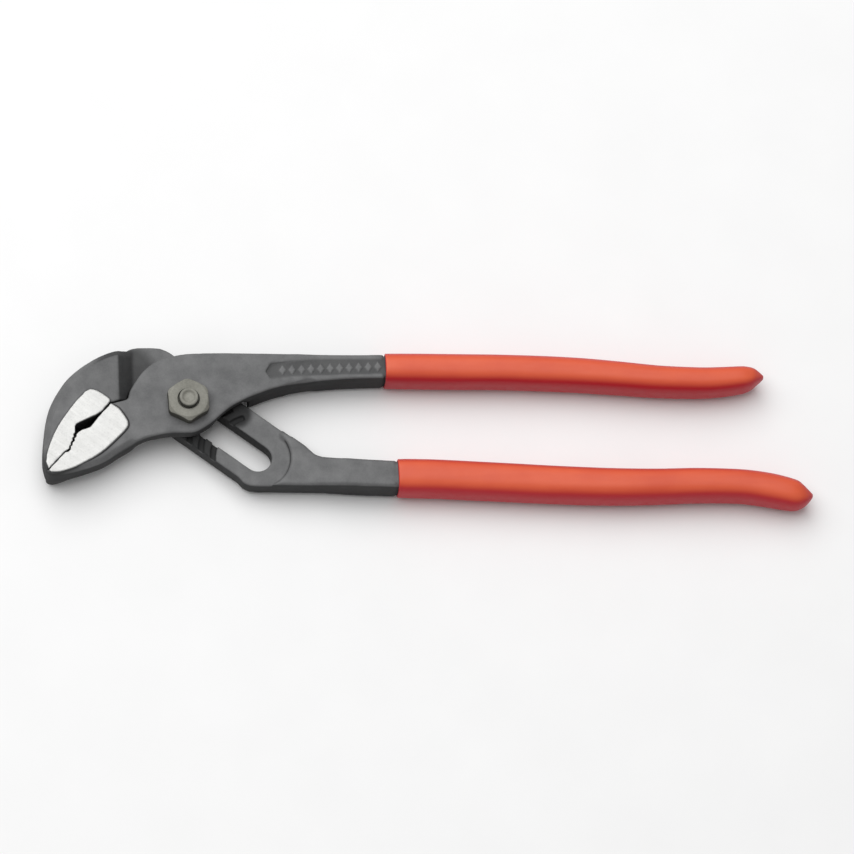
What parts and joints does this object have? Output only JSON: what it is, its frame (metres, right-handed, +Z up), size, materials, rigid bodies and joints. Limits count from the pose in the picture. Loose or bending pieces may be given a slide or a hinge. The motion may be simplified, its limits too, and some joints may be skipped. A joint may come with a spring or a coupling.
{
  "type": "tongue and groove pliers",
  "caption": "Slip-joint water pump pliers with curved jaws, a slotted lever with arc grooves, a nut and bolt pivot, and long plastic-dipped handles.",
  "frame": {"origin": "centre of the bounding box in X and Y, at the height of the surface the tool lies on", "axes": "+X along the tool from the jaws to the ends of the handles, +Y across it towards the upper handle, +Z up through its thickness, towards the nut"},
  "size_m": [0.2497, 0.0554, 0.0192],
  "materials": {
    "lever_steel": "forged and phosphated, matte; the jaw faces ground bright",
    "fastener_steel": "oiled steel, satin",
    "grip_plastic": "dip-coated soft plastic, semi-gloss"
  },
  "bodies": {
    "rear": {"rear_lever": "lever_steel", "lower_grip": "grip_plastic"},
    "pivot": {"joint_bolt": "fastener_steel", "joint_nut": "fastener_steel"},
    "front": {"front_lever": "lever_steel", "upper_grip": "grip_plastic"}
  },
  "joints": [
    {"name": "slot_adjust", "type": "slide", "parent": "rear", "child": "pivot", "axis": [0.7965, -0.6046, 0], "range_m": [0, 0.0282]},
    {"name": "jaw_pivot", "type": "hinge", "parent": "pivot", "child": "front", "pos_m": [-0.07787, 0.00673, 0.0109], "axis": [0, 0, 1], "range_deg": [0, 58]}
  ]
}
